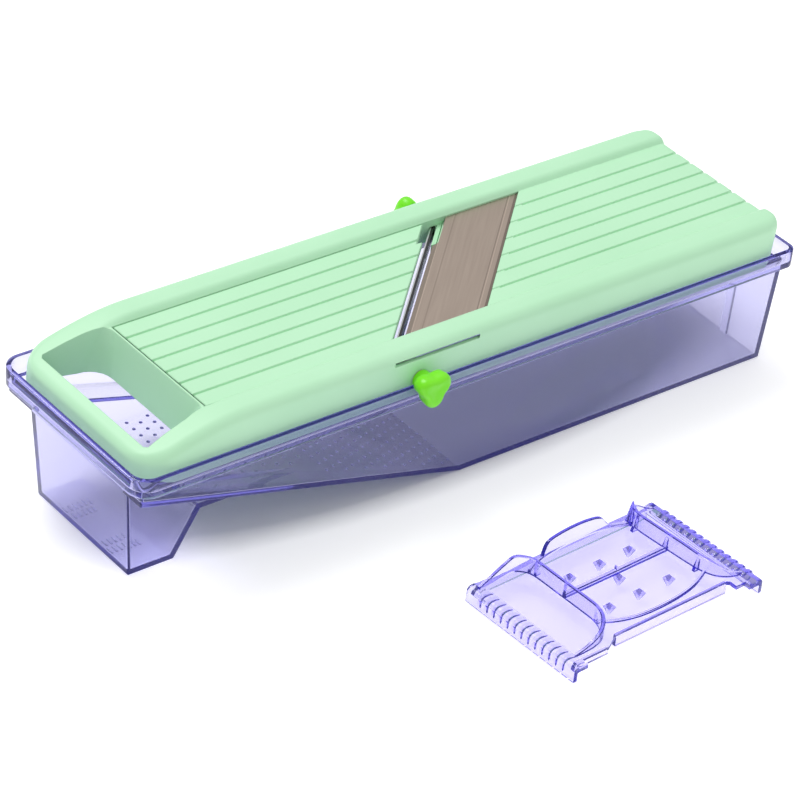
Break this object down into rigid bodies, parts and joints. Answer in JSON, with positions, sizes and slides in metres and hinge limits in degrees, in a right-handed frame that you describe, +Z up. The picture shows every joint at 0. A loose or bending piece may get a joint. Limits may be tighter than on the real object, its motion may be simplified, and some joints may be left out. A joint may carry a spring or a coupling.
{
  "type": "mandoline slicer",
  "caption": "Plastic mandoline slicer with a slanted steel blade, thumb screws and an adjusting plate, seated in a clear catch tray, with a loose finger guard beside it.",
  "frame": {"origin": "middle of the flat part of the tray's floor, on its underside, where the assembly stands on a table", "axes": "+X along the slicer away from its handle, -Y towards the near side where the finger guard lies, +Z up"},
  "size_m": [0.355, 0.2448, 0.0753],
  "materials": {
    "clear_tray": "clear tinted gloss",
    "clear_guard": "clear tinted gloss",
    "mint_plastic": "satin",
    "lime_plastic": "gloss",
    "blade_steel": "brushed",
    "bright_steel": "bright",
    "brass_inserts": "turned",
    "white_nylon": "matte"
  },
  "bodies": {
    "catch_tray": {"tray": "clear_tray"},
    "slicer": {"body_frame": "mint_plastic", "plate_hinge_pin": "bright_steel", "comb_strip": "bright_steel", "near_clamp_insert": "brass_inserts", "far_clamp_insert": "brass_inserts", "thickness_bridge": "mint_plastic", "near_bridge_screw": "bright_steel", "far_bridge_screw": "bright_steel", "thickness_nut": "brass_inserts", "spring_washer": "bright_steel", "thickness_spring": "bright_steel"},
    "adjusting_plate": {"adjusting_plate": "mint_plastic"},
    "blade": {"main_blade": "blade_steel"},
    "near_screw": {"near_clamp_screw": "bright_steel"},
    "near_knob": {"near_clamp_knob": "lime_plastic"},
    "far_screw": {"far_clamp_screw": "bright_steel"},
    "far_knob": {"far_clamp_knob": "lime_plastic"},
    "thrust_cap": {"thickness_thrust_cap": "white_nylon"},
    "adjuster": {"thickness_screw": "bright_steel", "thickness_clip": "bright_steel", "thickness_knob": "lime_plastic"},
    "guard": {"finger_guard": "clear_guard"}
  },
  "joints": [
    {"name": "slicer_lift", "type": "slide", "parent": "catch_tray", "child": "slicer", "axis": [0, 0, 1], "range_m": [0, 0.12]},
    {"name": "plate_tilt", "type": "hinge", "parent": "slicer", "child": "adjusting_plate", "pos_m": [-0.21415, 0, 0.0669], "axis": [0, 1, 0], "range_deg": [0, 1.78]},
    {"name": "blade_draw", "type": "slide", "parent": "slicer", "child": "blade", "axis": [-0.7312, -0.6821, 0], "range_m": [0, 0.13]},
    {"name": "near_screw_travel", "type": "slide", "parent": "slicer", "child": "near_screw", "axis": [0, -1, 0], "range_m": [0, 0.0016]},
    {"name": "near_knob_turn", "type": "hinge", "parent": "near_screw", "child": "near_knob", "pos_m": [-0.11853, -0.0568, 0.061], "axis": [0, -1, 0], "range_deg": [0, 720]},
    {"name": "far_screw_travel", "type": "slide", "parent": "slicer", "child": "far_screw", "axis": [0, 1, 0], "range_m": [0, 0.0016]},
    {"name": "far_knob_turn", "type": "hinge", "parent": "far_screw", "child": "far_knob", "pos_m": [-0.04417, 0.0568, 0.061], "axis": [0, 1, 0], "range_deg": [0, 720]},
    {"name": "thickness_travel", "type": "slide", "parent": "slicer", "child": "thrust_cap", "axis": [0, 0, -1], "range_m": [0, 0.002], "deforming": ["thickness_spring"]},
    {"name": "thickness_turn", "type": "hinge", "parent": "thrust_cap", "child": "adjuster", "pos_m": [-0.14975, 0, 0.0426], "axis": [0, 0, 1], "range_deg": [0, 720]},
    {"name": "guard_lift", "type": "slide", "parent": "catch_tray", "child": "guard", "axis": [0, 0, 1], "range_m": [0, 0.1]}
  ],
  "couplings": [
    {"joint": "near_knob_turn", "follows": "near_screw_travel", "rad_per_m": 7853.9},
    {"joint": "far_knob_turn", "follows": "far_screw_travel", "rad_per_m": 7853.9},
    {"joint": "thickness_travel", "follows": "thickness_turn", "m_per_rad": 0.00015915},
    {"joint": "plate_tilt", "follows": "thickness_turn", "ratio": 0.00247}
  ]
}
